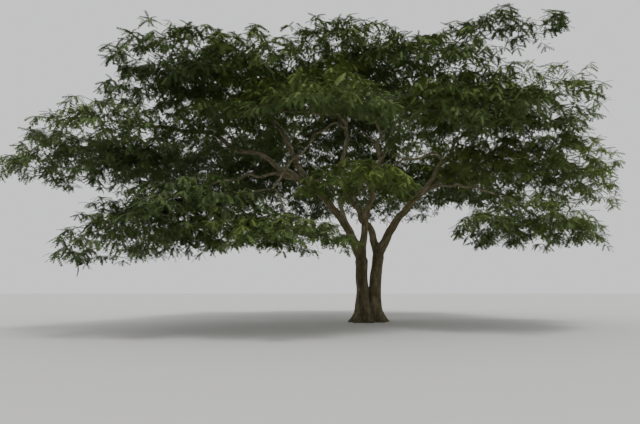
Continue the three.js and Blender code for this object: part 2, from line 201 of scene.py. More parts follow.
# A limb's length, and its centre line at even steps of height along it. A stem leaves the ground straight up.
def measureLimb(limb):
    fine = np.linspace(0, 1, limbRule["samples"])
    travelled = np.linalg.norm(np.diff(limbPoint(limb, fine), axis=0), axis=1).cumsum()
    shares = np.concatenate([[0], travelled]) / travelled[-1]
    limb["length"] = travelled[-1]
    steps = max(limbRule["fewestSteps"], round(limb["length"] / limbRule["step"]))
    heights = np.linspace(0, limb["length"], steps)
    t = np.interp(heights / limb["length"], shares, fine)
    tangents = limbTangent(limb, t)
    if limb["parent"] is None:
        straight = np.exp(-heights / rootRule["straightHeight"])[:, None]
        tangents = unit(tangents * (1 - straight) + up * straight)
    betweenRidges = np.full(len(heights), np.pi / 2 / rootRule["ridges"])
    limb["line"] = {"places": limbPoint(limb, t), "tangents": tangents, "sides": carriedSides(tangents),
                    "heights": heights, "radii": limbRadius(limb, heights, betweenRidges)}


def growLimbs():
    limbs = {}
    for number, (name, spec) in enumerate(limbPlan.items()):
        heading, reach, height = spec["end"]
        end = towards(heading) * reach + up * height
        parent = limbs.get(spec["parent"])
        if parent is None:
            start = np.array([*spec["where"], 0.0])
            leaving = up
            parentRadius = 0.0
        else:
            start = limbPoint(parent, spec["where"])[0]
            leaving = unit(limbTangent(parent, spec["where"])[0] + unit(end - start))
            line = parent["line"]
            parentRadius = np.interp(spec["where"] * parent["length"], line["heights"], line["radii"])
        slope = math.radians(spec["slope"])
        arriving = unit((end - start) * [1, 1, 0]) * math.cos(slope) + up * math.sin(slope)
        span = np.linalg.norm(end - start)
        limbs[name] = {
            "name": name, "spec": spec, "seed": limbRule["firstSeed"] + number,
            "parent": parent["name"] if parent else None, "parentRadius": parentRadius,
            "controls": (start, start + leaving * span * limbRule["leaveHandle"],
                         end - arriving * span * limbRule["arriveHandle"], end),
            "side": unit(np.cross(end - start, up)), "swing": span * swayRule["share"],
            "phase": number * swayRule["phaseStep"] if parent else 0.0,
        }
        measureLimb(limbs[name])
    return limbs


# Limbs that may meet this one: its parent, its siblings, its parent's siblings and its children
def neighboursOf(limb, limbs):
    bearers = {limb["name"], limb["parent"]}
    if limb["parent"]:
        bearers.add(limbs[limb["parent"]]["parent"])
    near = {other["name"] for other in limbs.values() if other["parent"] in bearers} | {limb["parent"]}
    return [limbs[name] for name in sorted(near - {limb["name"], None})]


# Meshes

# Quads between rings of the same number of corners, with a fan of triangles over each end of every run of
# rings. joins says for each ring if it is joined to the next. Poles are the middles of the end rings.
def ringFaces(joins, sides):
    k = np.arange(sides)
    after = (k + 1) % sides
    near = np.flatnonzero(joins)[:, None] * sides
    quads = np.stack([near + k, near + sides + k, near + sides + after, near + after], -1)
    joinedBefore = np.concatenate([[False], joins[:-1]])
    firsts = np.flatnonzero(joins & ~joinedBefore)
    lasts = np.flatnonzero(~joins & joinedBefore)
    poles = len(joins) * sides + np.arange(2 * len(firsts))[:, None]
    first, last = firsts[:, None] * sides, lasts[:, None] * sides
    starts = np.stack(np.broadcast_arrays(first + k, first + after, poles[:len(firsts)]), -1)
    ends = np.stack(np.broadcast_arrays(last + after, last + k, poles[len(firsts):]), -1)
    return quads.reshape(-1, 4), np.concatenate([starts.reshape(-1, 3), ends.reshape(-1, 3)]), firsts, lasts


# Several surfaces as one: their corners, quads and triangles, and any values that their corners carry
def joinedSurfaces(surfaces):
    corners, quads, triangles, *carried = zip(*surfaces)
    offsets = np.cumsum([0] + [len(some) for some in corners[:-1]])
    quads = np.concatenate([some + offset for some, offset in zip(quads, offsets)])
    triangles = np.concatenate([some + offset for some, offset in zip(triangles, offsets)])
    return np.concatenate(corners), quads, triangles, *(np.concatenate(values) for values in carried)


# A mesh object from arrays of corners, quads and triangles. tints gives each face its material, and
# attributes are numbers or vectors for each corner.
def meshPiece(name, corners, quads, triangles, materials, smooth=True, tints=None, attributes=None):
    mesh = bpy.data.meshes.new(name)
    mesh.vertices.add(len(corners))
    mesh.vertices.foreach_set("co", corners.astype(np.float32).ravel())
    mesh.loops.add(quads.size + triangles.size)
    loops = np.concatenate([quads.ravel(), triangles.ravel()])
    mesh.loops.foreach_set("vertex_index", loops.astype(np.int32))
    mesh.polygons.add(len(quads) + len(triangles))
    starts = np.concatenate([np.arange(len(quads)) * 4, quads.size + np.arange(len(triangles)) * 3])
    mesh.polygons.foreach_set("loop_start", starts.astype(np.int32))
    mesh.polygons.foreach_set("use_smooth", np.full(len(starts), smooth))
    for material in materials:
        mesh.materials.append(material)
    if tints is not None:
        mesh.polygons.foreach_set("material_index", tints.astype(np.int32))
    for attribute, values in (attributes or {}).items():
        kind, field = ("FLOAT_VECTOR", "vector") if values.ndim == 2 else ("FLOAT", "value")
        made = mesh.attributes.new(attribute, kind, "POINT")
        made.data.foreach_set(field, values.astype(np.float32).ravel())
    mesh.update(calc_edges=True)
    mesh.validate()
    piece = bpy.data.objects.new(name, mesh)
    bpy.context.scene.collection.objects.link(piece)
    return piece


# Bark

barkRelief = {
    "stem": {"sides": 40, "step": 0.06, "broad": 0.055, "ridge": 0.011, "wrinkle": 0.0055, "lump": 0.004},
    "bough": {"sides": 22, "step": 0.042, "broad": 0.07, "ridge": 0.004, "wrinkle": 0.003, "lump": 0.0025},
    "stemFrom": 0.18, "domeRings": (20, 40, 60, 78), "fewestRings": 6, "patternStep": 7.3,
}
reliefScale = {"broad": (3.1, 3.1, 1.3), "ridge": (17, 17, 2.6), "fineRidge": (34, 34, 6), "fineShare": 0.5,
               "wrinkle": (5, 5, 21), "lump": 27}
# How the bark's colour is scaled: painted shade in the grooves of its relief (deepest) and in the creases of
# the forks (crease), paler on thin limbs, darker down a strip of the trunk, and bands across the stems
barkShade = {"deepest": 0.45, "from": -1.1, "to": 0.3, "thinFrom": 0.2, "thinTo": 0.05, "thinPale": 0.6,
             "crease": 0.35, "strip": 0.46, "stripWidth": 0.46, "stripHeading": -90.0, "stripWander": 0.25,
             "stripScale": (1, 1, 1.7), "stripSeed": 21, "rings": 0.1, "ringStep": 0.23, "ringSeed": 22}
forkRule = {"blend": 0.3, "fewest": 0.02, "voxel": 0.031, "steps": 4, "nearReach": 0.05, "stride": 0.08,
            "rim": 0.5, "fillet": 0.3, "stemFillet": 0.2, "batch": 8192, "nearest": 1e-6, "nudge": 1e-9}


def laidOutAt(radius, angle, height):  # a place on the bark of a limb laid out straight along Z
    return np.stack([radius * np.cos(angle), radius * np.sin(angle), height], -1)


# Relief of the bark on a limb laid out straight: slow swellings, ridges drawn out along it, wrinkles across
# it and small lumps, each a band of smooth noise
def reliefAt(laidOut, radius, look, seed):
    broad = smoothNoise(laidOut * reliefScale["broad"], seed) * look["broad"] * radius
    ridge = smoothNoise(laidOut * reliefScale["ridge"], seed + 1)
    ridge = ridge + reliefScale["fineShare"] * smoothNoise(laidOut * reliefScale["fineRidge"], seed + 2)
    wrinkle = smoothNoise(laidOut * reliefScale["wrinkle"], seed + 3)
    lump = smoothNoise(laidOut * reliefScale["lump"], seed + 4)
    fine = ridge * look["ridge"] + wrinkle * look["wrinkle"] + lump * look["lump"]
    return broad + fine, fine


# How bright the bark is drawn: painted shade darkens it in the grooves of its relief, and it is paler on thin
# limbs
def shadeAt(fineRelief, look, radius):
    groove = fineRelief / (look["ridge"] + look["wrinkle"])
    depth = np.interp(groove, (barkShade["from"], barkShade["to"]), (barkShade["deepest"], 1))
    thin = np.clip((barkShade["thinFrom"] - radius) / (barkShade["thinFrom"] - barkShade["thinTo"]), 0, 1)
    return depth * (1 + barkShade["thinPale"] * thin)


# Where points lie beside a limb: across from the nearest place of its centre line, as distance, direction
# outwards, angle round it and height along it. Past its ends they are measured from the end itself.
def besideLimb(points, line):
    nearest = np.empty(len(points), int)
    for start in range(0, len(points), forkRule["batch"]):
        some = slice(start, start + forkRule["batch"])
        nearest[some] = ((points[some, None] - line["places"][None]) ** 2).sum(-1).argmin(1)
    offset = points - line["places"][nearest]
    tangent, side = line["tangents"][nearest], line["sides"][nearest]
    along = (offset * tangent).sum(-1)
    past = ((nearest == 0) & (along < 0)) | ((nearest == len(line["places"]) - 1) & (along > 0))
    along = np.where(past, 0, along)
    radial = offset - along[:, None] * tangent
    distance = np.maximum(np.linalg.norm(radial, axis=1), forkRule["nearest"])
    angle = np.arctan2((radial * side).sum(-1), (radial * np.cross(tangent, side)).sum(-1))
    height = line["heights"][nearest] + along
    return distance, radial / distance[:, None], angle, np.clip(height, 0, None)


# A swelling where a limb meets others, (w/4) (1 - |gap|/w)^2 for a gap up to w, as in a smooth union of both
def filletAt(corners, own, others):
    swelling = np.zeros(len(corners))
    for other in others:
        near = forkRule["fillet"] * 2 * min(own, other["spec"]["butt"])
        line = other["line"]
        reach = near + line["radii"].max()
        lowest, highest = line["places"].min(0) - reach, line["places"].max(0) + reach
        close = ((corners > lowest) & (corners < highest)).all(-1)
        if close.any():
            distance, _, _, height = besideLimb(corners[close], line)
            gap = distance - np.interp(height, line["heights"], line["radii"])
            fillet = near / 4 * np.clip(1 - np.abs(gap) / near, 0, 1) ** 2
            swelling[close] = np.maximum(swelling[close], fillet)
    return swelling


# Rings of corners round a limb's centre line, the last ones a round dome
def limbTube(limb, look):
    line, length, tipRadius = limb["line"], limb["length"], limb["spec"]["tip"]
    domeAngles = np.radians(barkRelief["domeRings"])
    body = np.linspace(0, length - tipRadius, max(barkRelief["fewestRings"], round(length / look["step"])))
    heights = np.concatenate([body, length - tipRadius + tipRadius * np.sin(domeAngles)])
    domed = np.concatenate([np.ones(len(body)), np.cos(domeAngles)])
    points, directions, sides = (
        np.stack([np.interp(heights, line["heights"], line[kind][:, k]) for k in range(3)], -1)
        for kind in ("places", "tangents", "sides"))
    across = np.cross(directions, sides)
    angle = np.linspace(0, 2 * np.pi, look["sides"], endpoint=False)
    height, around = np.meshgrid(heights, angle, indexing="ij")
    outward = np.cos(around)[..., None] * across[:, None] + np.sin(around)[..., None] * sides[:, None]
    radius = limbRadius(limb, height, around) * domed[:, None]
    quads, triangles, _, _ = ringFaces(np.arange(len(heights)) < len(heights) - 1, look["sides"])
    return {"corners": points[:, None] + outward * radius[..., None], "poles": line["places"][[0, -1]],
            "quads": quads, "triangles": triangles, "outward": outward, "radius": radius, "around": around,
            "height": height, "domed": domed}


# A bough's tube, raised by its relief and by its fillets to the limbs that it meets
def boughSurface(limb, limbs, look):
    tube = limbTube(limb, look)
    radius = tube["radius"].reshape(-1)
    laidOut = laidOutAt(tube["radius"], tube["around"], tube["height"]).reshape(-1, 3)
    relief, fineRelief = reliefAt(laidOut, radius, look, limb["seed"])
    fillet = filletAt(tube["corners"].reshape(-1, 3), limb["spec"]["butt"], neighboursOf(limb, limbs))
    raised = (relief + fillet).reshape(tube["height"].shape)
    corners = tube["corners"] + tube["outward"] * (raised * tube["domed"][:, None])[..., None]
    corners = np.concatenate([corners.reshape(-1, 3), tube["poles"]])
    laidOut = np.concatenate([laidOut, [[0, 0, 0], [0, 0, limb["length"]]]])
    laidOut = laidOut + [0, 0, barkRelief["patternStep"] * limb["seed"]]
    # Painted shade in the grooves of the relief, and the paler tone of thin limbs
    shade = np.concatenate([shadeAt(fineRelief, look, radius), [1, 1]])
    return corners, tube["quads"], tube["triangles"], laidOut, shade


# An even net of quads over the rough tubes of the stems
def evenNet(stems, look):
    tubes = [limbTube(stem, look) for stem in stems]
    rough = meshPiece("rough_stems", *joinedSurfaces([
        (np.concatenate([tube["corners"].reshape(-1, 3), tube["poles"]]), tube["quads"], tube["triangles"])
        for tube in tubes]), [])
    net = rough.modifiers.new("net", "REMESH")
    net.mode = "VOXEL"
    net.voxel_size = forkRule["voxel"]
    even = bpy.data.meshes.new_from_object(rough.evaluated_get(bpy.context.evaluated_depsgraph_get()))
    bpy.data.objects.remove(rough)
    points = np.empty(len(even.vertices) * 3, np.float32)
    even.vertices.foreach_get("co", points)
    quads = np.empty(len(even.loops), np.int32)
    even.loops.foreach_get("vertex_index", quads)
    bpy.data.meshes.remove(even)
    return points.reshape(-1, 3).astype(float), quads.reshape(-1, 4)


# Where points lie beside each stem: gap to its surface, direction outwards, angle, height and radius there
def besideStems(points, stems):
    found = []
    for stem in stems:
        distance, outward, angle, height = besideLimb(points, stem["line"])
        radius = limbRadius(stem, height, angle)
        found.append((distance - radius, outward, angle, height, radius))
    return [np.array(values) for values in zip(*found)]


# The bark's shade on the stems: painted shade in the creases of the forks, a darker strip down the trunk
# where it faces stripHeading, by exp(-(turn/width)^2), and bands across each stem
def stemShade(shade, points, outward, crease, trunkShare, height):
    turned = np.arctan2(outward[:, 1], outward[:, 0]) - math.radians(barkShade["stripHeading"])
    wander = barkShade["stripWander"] * smoothNoise(points * barkShade["stripScale"], barkShade["stripSeed"])
    turned = np.arctan2(np.sin(turned), np.cos(turned)) + wander
    strip = np.exp(-(turned / barkShade["stripWidth"]) ** 2) * trunkShare
    zero = 0 * height
    rings = smoothNoise(np.stack([zero, zero, height / barkShade["ringStep"]], -1), barkShade["ringSeed"])
    shade = shade * (1 - barkShade["crease"] * crease) * (1 - barkShade["strip"] * strip)
    return shade * (1 + barkShade["rings"] * rings)


# The stems as one skin: their rough tubes are covered by an even net, whose corners then move onto the smooth
# union -k log(sum exp(-gap/k)) of the gaps to all stems, and from there out by the relief of the stems
# nearest to them. The flat underside stays at the ground.
def stemSurface(names, limbs, look):
    stems = [limbs[name] for name in names]
    points, quads = evenNet(stems, look)
    underside = points[:, 2] < forkRule["voxel"] / 2
    for _ in range(forkRule["steps"]):
        gaps, outwards, angles, heights, radii = besideStems(points, stems)
        closest = gaps.min(0)
        nearness = np.exp(-(gaps - closest) / forkRule["nearReach"])
        shares = nearness / nearness.sum(0)
        blend = forkRule["blend"] * (shares * radii).sum(0)
        gap = closest - blend * np.log(np.exp(-(gaps - closest) / blend).sum(0))
        outward = unit((shares[..., None] * outwards).sum(0) + forkRule["nudge"])
        moved = points - outward * np.clip(gap, -forkRule["stride"], forkRule["stride"])[:, None]
        sealed = underside & (gap < -forkRule["rim"] * forkRule["voxel"])
        points = np.where(sealed[:, None], points, moved)
    relief, fineRelief = np.zeros(len(points)), np.zeros(len(points))
    for i, stem in enumerate(stems):
        mine = shares[i] > forkRule["fewest"]
        radius = radii[i][mine]
        laidOut = laidOutAt(radius, angles[i][mine], heights[i][mine])
        whole, fine = reliefAt(laidOut, radius, look, stem["seed"])
        relief[mine] += whole * shares[i][mine]
        fineRelief[mine] += fine * shares[i][mine]
    first = shares.argmax(0)
    radius, angle, height = (values[first, np.arange(len(points))] for values in (radii, angles, heights))
    seeds = np.array([stem["seed"] for stem in stems])[first]
    laidOut = laidOutAt(radius, angle, height + barkRelief["patternStep"] * seeds)
    leavers = [limb for limb in limbs.values() if limb["name"] not in names and limb["parent"] in names]
    raised = relief + filletAt(points, forkRule["stemFillet"], leavers)
    points = points + outward * np.where(sealed, 0, raised)[:, None]
    points[underside, 2] = 0
    # Painted shade in the creases of the forks, where the smooth union lies inside the nearest stem
    crease = np.clip((closest - gap) / (blend * math.log(2)), 0, 1)
    shade = stemShade(shadeAt(fineRelief, look, radius), points, outward, crease, shares[0], height)
    return points, quads, np.empty((0, 3), int), laidOut, shade


# Twigs

# Pads of foliage beyond each bough's tip: how many, the fan's heading and angle, how far out and up their
# middles lie, how much the fan's middle stands above its ends, their radius and how slim they are across
padParts = ("count", "heading", "fan", "out", "lift", "arch", "radius", "slim")
padPlan = named(padParts, {
    "upper_left": (3, 237, 110, 2.6, 0.75, 0.7, 2.25, 1),
    "far_left": (3, 205, 120, 2.5, -0.3, -0.2, 2.15, 0.85),
    "low_left": (3, 222, 130, 2.4, -1.5, -0.9, 2.0, 1),
    "west": (2, 170, 76, 2.8, 0.1, 0, 2.35, 1),
    "front": (2, 235, 84, 2.9, 0, 0, 2.3, 1),
    "front_low": (2, 250, 90, 2.0, -1.0, 0, 1.75, 1),
    "front_high": (2, 275, 84, 2.4, 1.35, 0, 2.25, 1),
    "high_right": (1, 326, 0, 2.5, 2.0, 0, 2.4, 0.5),
    "top": (3, 90, 240, 2.4, 1.3, 0, 2.45, 1),
    "right_high": (3, 300, 140, 2.7, 0.9, 0.7, 2.2, 1),
    "right": (2, 332, 76, 2.25, -0.2, 0, 2.2, 1),
    "right_low": (2, 318, 90, 1.9, -0.7, 0, 1.85, 1),
    "front_middle": (1, 285, 0, 1.3, 1.0, 0, 1.6, 1),
    "rear_right": (3, 46, 150, 2.7, 0.3, 1.4, 2.35, 1),
    "rear": (2, 88, 84, 3.0, -0.2, 0, 2.45, 1),
    "rear_left": (3, 138, 150, 2.7, 0.3, 1.4, 2.35, 1),
})
padRule = {"turnSpread": 14, "liftSpread": 0.7, "depth": 0.36, "droop": 0.22, "innerRing": 0.6,
           "ringTurn": 0.7, "seedStep": 10}

# Layer of fine twigs in each pad: how far its upper side lies above the pad's dome, its thickness in the
# middle, how much further it goes inwards and how steeply it climbs there, how much lighter its green is
# painted (painted light on layers in the open, painted shade on shaded ones), and how many gaps it has, from
# -1 for none to 0 for half of it
layerParts = ("rise", "thickness", "inward", "climb", "tone", "gaps")
layerPlan = named(layerParts, {
    "upper_left": (0.1, 1.7, 2.6, 0.05, 0.1, -0.5), "far_left": (0.1, 1.6, 0.5, 0.1, -0.1, -0.36),
    "low_left": (0.9, 1.8, 0.6, 0.1, -0.45, -0.42), "west": (0.3, 2.1, 3.6, 0.4, -0.25, -0.55),
    "front": (0.45, 1.2, 3.2, 0.5, 0.25, -0.6), "front_low": (0.3, 1.0, 0.3, 0, 0.1, -0.6),
    "front_high": (0.15, 1.8, 2.0, 0.15, 0.1, -0.6), "high_right": (0.25, 0.8, 0.4, 0, -0.1, -0.22),
    "top": (0, 2.5, 1.0, 0, 0.1, -0.9), "right_high": (1.35, 2.9, 2.8, 0.25, 0.25, -0.85),
    "right": (0.65, 2.2, 3.2, 0.25, 0.5, -0.7), "right_low": (0.3, 1.1, 0.4, 0, 0, -0.46),
    "front_middle": (0.2, 1.0, 0.3, 0, 0.5, -0.6), "rear_right": (0.9, 2.5, 3.2, 0.3, -0.1, -0.6),
    "rear": (0.9, 2.6, 3.4, 0.38, -0.1, -0.9), "rear_left": (1.0, 2.6, 3.2, 0.42, -0.1, -0.8),
})
layerRule = {"edgeThinning": 0.55, "coarseDepth": 0.8, "coarseTop": 0.15}
stalkRule = {"steps": 3, "bareShare": 0.4, "tipShare": 0.85, "sink": 0.35}
twigRule = {"perPad": 6, "shortcut": 0.15, "power": 2.4, "tip": 0.0055, "step": 0.36, "beyond": 0.6,
            "tipsPerSquareMetre": 8.0, "limbRoom": 0.16,
            "gapSize": 0.75, "gapShape": (1, 1, 0.5), "gapSeed": 50,
            "jitter": 0.16, "jitterScale": 1.9, "jitterShifts": (0.0, 40.5, 80.5),
            "stray": 0.09, "strayScale": 1.4, "strayShifts": (0.0, 33.5, 66.5)}
twigShape = {"thick": {"sides": 7, "seed": 3}, "thin": {"sides": 3, "seed": 4}, "thickFrom": 0.016,
             "pointed": 0.6, "parts": 2, "knob": 0.16, "knobScale": 7.0, "nudge": 1e-4}


def growPad(bough, i, limbs):
    plan = padPlan[bough]
    seed = padRule["seedStep"] * list(padPlan).index(bough) + 1 + i
    random = seededNumbers(seed)
    root = limbPoint(limbs[bough], 1.0)[0]
    share = 2 * i / (plan["count"] - 1) - 1 if plan["count"] > 1 else 0
    outward = towards(plan["heading"] + share * plan["fan"] / 2 + padRule["turnSpread"] * (random() - 0.5))
    middle = root + outward * plan["out"]
    middle[2] += plan["lift"] - plan["arch"] * share * share + padRule["liftSpread"] * (random() - 0.5)
    return {"name": f"{bough}_foliage_{i + 1}", "root": root, "middle": middle, "outward": outward,
            "radius": plan["radius"], "slim": plan["slim"], "layer": layerPlan[bough],
            "random": random, "seed": seed}


# Points spread evenly over a pad by the golden angle, at random depths round a shallow dome whose edge droops
# with the square of the way out. Fine ones go beyond the pad's radius, and fill a layer that thins by
# 0.55 ring^2 and climbs inwards.
def padPoints(pad, count, fine):
    random, radius, layer = pad["random"], pad["radius"], pad["layer"]
    drawn = np.array([[random(), random()] for _ in range(count)])
    depth = drawn[:, 1] - 0.5
    i = np.arange(count)
    ring = np.sqrt((i + padRule["innerRing"]) / count)
    angle = i * goldenAngle + padRule["ringTurn"] * drawn[:, 0]
    beyond, inward = (twigRule["beyond"], layer["inward"]) if fine else (0.0, 0.0)
    outwards = (radius + beyond + inward / 2) * ring * np.cos(angle) - inward / 2
    across = (radius * pad["slim"] + beyond) * ring * np.sin(angle)
    if fine:
        thinning = 1 - layerRule["edgeThinning"] * ring ** 2
        lift = layer["rise"] - layer["thickness"] * (0.5 + depth * thinning)
        lift = lift + layer["climb"] * np.maximum(-outwards, 0)
    else:
        bottom = layer["rise"] - layerRule["coarseDepth"] * layer["thickness"]
        lift = np.clip(radius * padRule["depth"] * depth, bottom, layer["rise"] - layerRule["coarseTop"])
    away = ring * (1 + beyond / radius)
    lift = lift - radius * padRule["droop"] * away ** 2
    points = pad["middle"] + np.outer(outwards, pad["outward"]) + np.outer(lift, up)
    return points + np.outer(across, np.cross(up, pad["outward"]))


# A pad's stem, from the bough's tip to below the pad's middle: nodes on the arc (1-t)^2 A + 2(1-t) t B + t^2
# C
def stemNodes(pad):
    root, top = pad["root"], pad["middle"] - up * stalkRule["sink"]
    half = (root + top) / 2
    half[2] = max(root[2], top[2])
    t = np.linspace(0, 1, stalkRule["steps"] + 1)[:, None]
    arc = (1 - t) ** 2 * root + 2 * (1 - t) * t * half + t * t * top
    nodes = [{"place": place, "parent": i - 1, "stem": True, "leafy": False, "way": 0.0}
             for i, place in enumerate(arc)]
    for before, node in zip(nodes, nodes[1:]):
        node["way"] = before["way"] + np.linalg.norm(node["place"] - before["place"])
    return nodes


# Tips of a pad's fine twigs, each moved a little by noise, without those at a limb or in one of the layer's
# gaps
def finePoints(pad, keepsClear):
    radius, beyond, layer = pad["radius"], twigRule["beyond"], pad["layer"]
    area = math.pi * (radius + beyond + layer["inward"] / 2) * (radius * pad["slim"] + beyond)
    points = padPoints(pad, round(area * twigRule["tipsPerSquareMetre"]), fine=True)
    spread = noiseVectors(points * twigRule["jitterScale"], twigRule["jitterShifts"], pad["seed"])
    points = points + spread * twigRule["jitter"]
    shaped = points / twigRule["gapSize"] * twigRule["gapShape"]
    cover = smoothNoise(shaped, pad["seed"] + twigRule["gapSeed"])
    return points[keepsClear(points) & (cover > layer["gaps"])]


# New points, the nearest to the root first. Each joins the node that keeps its own twig and the way back
# short.
def joinPoints(nodes, joinable, points):
    order = np.argsort(np.linalg.norm(points - nodes[0]["place"], axis=1), kind="stable")
    for place in points[order]:
        at = np.flatnonzero(joinable)
        places = np.array([nodes[i]["place"] for i in at])
        steps = np.linalg.norm(places - place, axis=1)
        ways = np.array([nodes[i]["way"] for i in at])
        best = np.argmin(steps + twigRule["shortcut"] * ways)
        nodes.append({"place": place, "parent": int(at[best]), "stem": False, "leafy": True,
                      "way": ways[best] + steps[best]})
        joinable.append(True)


# The same twigs with nodes at even steps along each, which stray a little to the side, most in the middle
def withSteps(nodes, seed):
    made = [nodes[0]]
    newIndex = [0]
    for node in nodes[1:]:
        parent = nodes[node["parent"]]
        edge = node["place"] - parent["place"]
        length = np.linalg.norm(edge)
        count = max(1, round(length / twigRule["step"]))
        last = newIndex[node["parent"]]
        for k in range(1, count + 1):
            share = k / count
            place = parent["place"] + edge * share
            stray = noiseVectors(place * twigRule["strayScale"], twigRule["strayShifts"], seed)
            place = place + stray * twigRule["stray"] * length * math.sin(math.pi * share)
            made.append({"place": place, "parent": last, "stem": node["stem"],
                         "leafy": node["leafy"] and k == count, "way": parent["way"] + length * share})
            last = len(made) - 1
        newIndex.append(last)
    return made


# Nodes of a pad's stem and twigs. The long twigs get nodes on the way, so that finer ones can leave them
# anywhere.
def branchOut(pad, keepsClear):
    nodes = stemNodes(pad)
    joinable = [i > stalkRule["bareShare"] * stalkRule["steps"] for i in range(len(nodes))]
    joinPoints(nodes, joinable, padPoints(pad, twigRule["perPad"], fine=False))
    nodes = withSteps(nodes, pad["seed"])
    bareWay = stalkRule["bareShare"] * [node for node in nodes if node["stem"]][-1]["way"]
    joinable = [not node["stem"] or node["way"] > bareWay for node in nodes]
    joinPoints(nodes, joinable, finePoints(pad, keepsClear))
    return nodes


# Radii from the tips inwards: each twig's radius to the power 2.4 is the sum over all the tips that it
# carries. A node's heir is what carries on from it: the rest of the stem, or the twig with the most load.
def thicken(nodes, most):
    load = np.zeros(len(nodes))
    heir = np.full(len(nodes), -1)
    for i in range(len(nodes) - 1, 0, -1):
        if load[i] == 0:
            load[i] = twigRule["tip"] ** twigRule["power"]
        parent = nodes[i]["parent"]
        load[parent] += load[i]
        if heir[parent] < 0 or nodes[i]["stem"] or load[heir[parent]] <= load[i]:
            heir[parent] = i
    radii = np.minimum(load ** (1 / twigRule["power"]), most)
    return radii, heir


# Runs of nodes that follow the heirs from the root, or from the node that bears them, to a tip
def runsOf(nodes, heir):
    runs = []
    for i in range(1, len(nodes)):
        parent = nodes[i]["parent"]
        if parent == 0 or heir[parent] != i:
            run = [parent, i]
            while heir[run[-1]] >= 0:
                run.append(int(heir[run[-1]]))
            runs.append(run)
    return runs


# Smooth line through a run of points: a Catmull-Rom curve, (2b + (c-a)t + (2a-5b+4c-d)t^2 + (3b-a-3c+d)t^3)/2
def smoothRun(points, radii, parts):
    padded = np.concatenate([[2 * points[0] - points[1]], points, [2 * points[-1] - points[-2]]])
    a, b, c, d = padded[:-3, None], padded[1:-2, None], padded[2:-1, None], padded[3:, None]
    t = (np.arange(parts) / parts)[None, :, None]
    second, third = 2 * a - 5 * b + 4 * c - d, 3 * b - a - 3 * c + d
    curve = (2 * b + (c - a) * t + second * t ** 2 + third * t ** 3) / 2
    places = np.concatenate([curve.reshape(-1, 3), points[-1:]])
    shares = np.arange(len(places)) / parts
    return places, np.interp(shares, np.arange(len(points)), radii)


# Tubes along many runs at once, with knobs of smooth noise. Each ring's side is level and square to the twig.
def twigSurface(runs, sides, seed):
    places = np.concatenate([run[0] for run in runs])
    radii = np.concatenate([run[1] for run in runs])
    ends = np.cumsum([len(run[0]) for run in runs]) - 1
    firsts = np.concatenate([[0], ends[:-1] + 1])
    joins = np.ones(len(places), bool)
    joins[ends] = False
    ahead = np.minimum(np.arange(len(places)) + 1, len(places) - 1)
    ahead[ends] = ends
    behind = np.maximum(np.arange(len(places)) - 1, 0)
    behind[firsts] = firsts
    directions = unit(places[ahead] - places[behind])
    side = unit(np.cross(directions, up) + np.array([twigShape["nudge"], 0, 0]))
    other = np.cross(side, directions)
    angle = np.linspace(0, 2 * np.pi, sides, endpoint=False)
    outward = np.cos(angle)[None, :, None] * side[:, None] + np.sin(angle)[None, :, None] * other[:, None]
    knobs = 1 + twigShape["knob"] * smoothNoise(places * twigShape["knobScale"], seed)
    corners = places[:, None] + outward * (radii * knobs)[:, None, None]
    quads, triangles, starts, lasts = ringFaces(joins, sides)
    poles = np.concatenate([places[starts], places[lasts] + directions[lasts] * radii[lasts, None]])
    return np.concatenate([corners.reshape(-1, 3), poles]), quads, triangles


# Leaves

# Greens from darkest to lightest: painted shade under the layers of foliage through to painted sunlight on
# their tops, also dealt out at random by noise
leafTints = {
    "leaf_shade": (0.060, 0.090, 0.032),
    "leaf_deep": (0.069, 0.104, 0.033),
    "leaf_green": (0.082, 0.122, 0.034),
    "leaf_light_green": (0.102, 0.146, 0.036),
    "leaf_sunny": (0.134, 0.178, 0.042),
}
leafFinish = {"roughness": 0.62, "specular": 0.14}

# How light a leaf's green is drawn: painted light by its height in the layer, lighter on its lit top and
# darker in painted shade below, and broad patches and small spots of smooth noise that vary its tone at
# random
leafLight = {"byHeight": 1.3, "patches": 0.5, "patchScale": 0.42, "patchSeed": 5,
             "spots": 0.25, "spotScale": 1.7, "spotSeed": 6, "middle": 1.8, "spread": 2.0}

# Leaves spread round each twig's end: their shares of the way along it and their turns to the side in degrees
leafRule = {"shares": (1.0, 0.98, 0.96, 0.94, 0.9, 0.84, 0.76, 0.66, 0.54, 0.38),
            "turns": (4, 42, -46, 86, -92, 140, -66, 74, -84, 66), "turnSpread": 40, "lift": 18, "droop": 38,
            "roll": 44, "shortest": 0.27, "longest": 0.43, "youngest": 0.85, "kept": 0.97, "proud": 0.1,
            "firstSeed": 100}
leafShape = {"pairs": 5, "bare": 0.1, "end": 0.9, "reach": 0.3, "overlap": 0.97, "lean": 48, "sag": 0.2,
             "bends": (0.16, 0.3, 0.44), "swellFrom": 0.2, "swellBy": 0.62, "swellPower": 0.7,
             "endWidth": 0.7, "endLength": 2.6}


